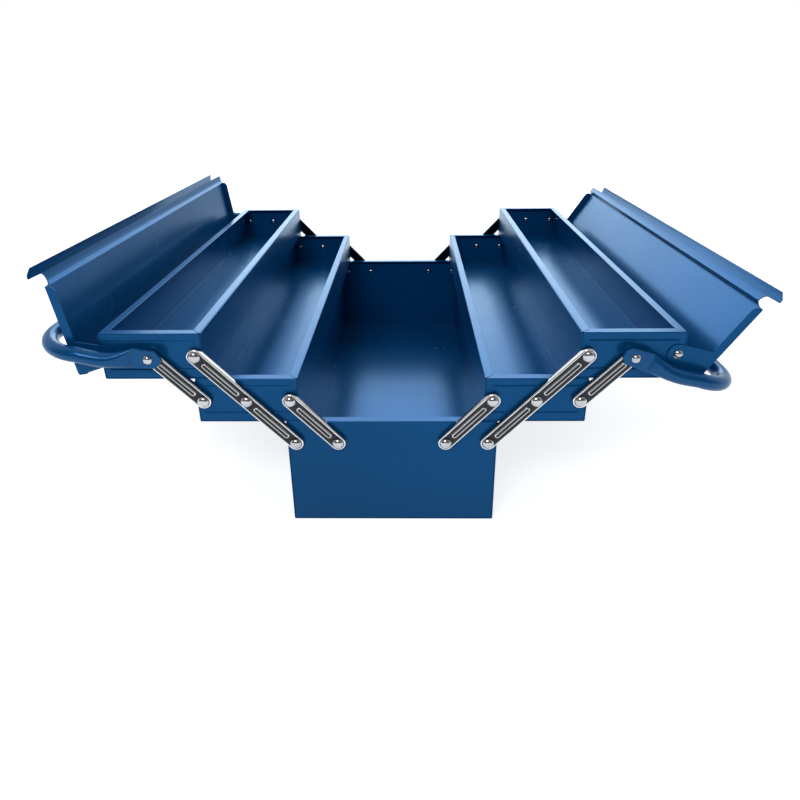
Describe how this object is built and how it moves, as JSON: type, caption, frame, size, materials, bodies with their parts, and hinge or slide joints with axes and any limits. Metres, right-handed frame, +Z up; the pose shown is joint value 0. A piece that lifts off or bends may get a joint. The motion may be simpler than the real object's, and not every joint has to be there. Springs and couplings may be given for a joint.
{
  "type": "cantilever tool box",
  "caption": "Steel tool box with trays that fan out on arms from both sides of a long base, two lap-over lids and two swing-up bar handles.",
  "frame": {"origin": "middle of the base's underside, on the surface the box stands on", "axes": "+X to the right across the trays, +Y along the box to its rear end, +Z up; the box is stored open, as in the picture"},
  "size_m": [0.6543, 0.567, 0.2702],
  "materials": {
    "blue_paint": "satin",
    "chrome": "polished",
    "rivet_steel": "polished"
  },
  "bodies": {
    "base_box": {"base_trough": "blue_paint", "base_front_end": "blue_paint", "base_rear_end": "blue_paint", "base_rivets": "rivet_steel"},
    "left_long_arms": {"left_front_long_arm": "chrome", "left_rear_long_arm": "chrome"},
    "left_lower_arms": {"left_front_lower_arm": "chrome", "left_rear_lower_arm": "chrome"},
    "left_middle_tray": {"left_middle_trough": "blue_paint", "left_middle_front_end": "blue_paint", "left_middle_rear_end": "blue_paint", "left_middle_rivets": "rivet_steel"},
    "left_upper_arms": {"left_front_upper_arm": "chrome", "left_rear_upper_arm": "chrome"},
    "left_upper_tray": {"left_upper_trough": "blue_paint", "left_upper_front_end": "blue_paint", "left_upper_rear_end": "blue_paint", "left_upper_rivets": "rivet_steel", "left_handle_rivets": "rivet_steel", "left_lid_rivets": "rivet_steel"},
    "left_handle": {"left_handle": "blue_paint"},
    "left_lid": {"left_lid": "blue_paint"},
    "right_long_arms": {"right_front_long_arm": "chrome", "right_rear_long_arm": "chrome"},
    "right_lower_arms": {"right_front_lower_arm": "chrome", "right_rear_lower_arm": "chrome"},
    "right_middle_tray": {"right_middle_trough": "blue_paint", "right_middle_front_end": "blue_paint", "right_middle_rear_end": "blue_paint", "right_middle_rivets": "rivet_steel"},
    "right_upper_arms": {"right_front_upper_arm": "chrome", "right_rear_upper_arm": "chrome"},
    "right_upper_tray": {"right_upper_trough": "blue_paint", "right_upper_front_end": "blue_paint", "right_upper_rear_end": "blue_paint", "right_upper_rivets": "rivet_steel", "right_handle_rivets": "rivet_steel", "right_lid_rivets": "rivet_steel"},
    "right_handle": {"right_handle": "blue_paint"},
    "right_lid": {"right_lid": "blue_paint"}
  },
  "joints": [
    {"name": "left_fold", "type": "hinge", "parent": "base_box", "child": "left_long_arms", "pos_m": [-0.091, 0, 0.093], "axis": [0, 1, 0], "range_deg": [0, 84.8]},
    {"name": "left_lower_arm_pivot", "type": "hinge", "parent": "base_box", "child": "left_lower_arms", "pos_m": [-0.051, 0, 0.093], "axis": [0, 1, 0], "range_deg": [0, 84.8]},
    {"name": "left_middle_tray_pivot", "type": "hinge", "parent": "left_long_arms", "child": "left_middle_tray", "pos_m": [-0.1335, 0, 0.1385], "axis": [0, 1, 0], "range_deg": [-84.8, 0]},
    {"name": "left_upper_arm_pivot", "type": "hinge", "parent": "left_middle_tray", "child": "left_upper_arms", "pos_m": [-0.1735, 0, 0.1385], "axis": [0, 1, 0], "range_deg": [0, 84.8]},
    {"name": "left_upper_tray_pivot", "type": "hinge", "parent": "left_long_arms", "child": "left_upper_tray", "pos_m": [-0.176, 0, 0.184], "axis": [0, 1, 0], "range_deg": [-84.8, 0]},
    {"name": "left_handle_swing", "type": "hinge", "parent": "left_upper_tray", "child": "left_handle", "pos_m": [-0.216, 0, 0.184], "axis": [0, 1, 0], "range_deg": [-27.2, 105.7]},
    {"name": "left_lid_swing", "type": "hinge", "parent": "left_upper_tray", "child": "left_lid", "pos_m": [-0.256, 0, 0.184], "axis": [0, 1, 0], "range_deg": [-25.17, 97.8]},
    {"name": "right_fold", "type": "hinge", "parent": "base_box", "child": "right_long_arms", "pos_m": [0.091, 0, 0.093], "axis": [0, -1, 0], "range_deg": [0, 84.8]},
    {"name": "right_lower_arm_pivot", "type": "hinge", "parent": "base_box", "child": "right_lower_arms", "pos_m": [0.051, 0, 0.093], "axis": [0, -1, 0], "range_deg": [0, 84.8]},
    {"name": "right_middle_tray_pivot", "type": "hinge", "parent": "right_long_arms", "child": "right_middle_tray", "pos_m": [0.1335, 0, 0.1385], "axis": [0, -1, 0], "range_deg": [-84.8, 0]},
    {"name": "right_upper_arm_pivot", "type": "hinge", "parent": "right_middle_tray", "child": "right_upper_arms", "pos_m": [0.1735, 0, 0.1385], "axis": [0, -1, 0], "range_deg": [0, 84.8]},
    {"name": "right_upper_tray_pivot", "type": "hinge", "parent": "right_long_arms", "child": "right_upper_tray", "pos_m": [0.176, 0, 0.184], "axis": [0, -1, 0], "range_deg": [-84.8, 0]},
    {"name": "right_handle_swing", "type": "hinge", "parent": "right_upper_tray", "child": "right_handle", "pos_m": [0.216, 0, 0.184], "axis": [0, -1, 0], "range_deg": [0, 130.9]},
    {"name": "right_lid_swing", "type": "hinge", "parent": "right_upper_tray", "child": "right_lid", "pos_m": [0.256, 0, 0.184], "axis": [0, -1, 0], "range_deg": [0, 123]}
  ],
  "couplings": [
    {"joint": "left_lower_arm_pivot", "follows": "left_fold", "ratio": 1},
    {"joint": "left_middle_tray_pivot", "follows": "left_fold", "ratio": -1},
    {"joint": "left_upper_arm_pivot", "follows": "left_fold", "ratio": 1},
    {"joint": "left_upper_tray_pivot", "follows": "left_fold", "ratio": -1},
    {"joint": "left_lid_swing", "follows": "left_handle_swing", "ratio": 0.92526},
    {"joint": "right_lower_arm_pivot", "follows": "right_fold", "ratio": 1},
    {"joint": "right_middle_tray_pivot", "follows": "right_fold", "ratio": -1},
    {"joint": "right_upper_arm_pivot", "follows": "right_fold", "ratio": 1},
    {"joint": "right_upper_tray_pivot", "follows": "right_fold", "ratio": -1},
    {"joint": "right_lid_swing", "follows": "right_handle_swing", "ratio": 0.93965}
  ]
}
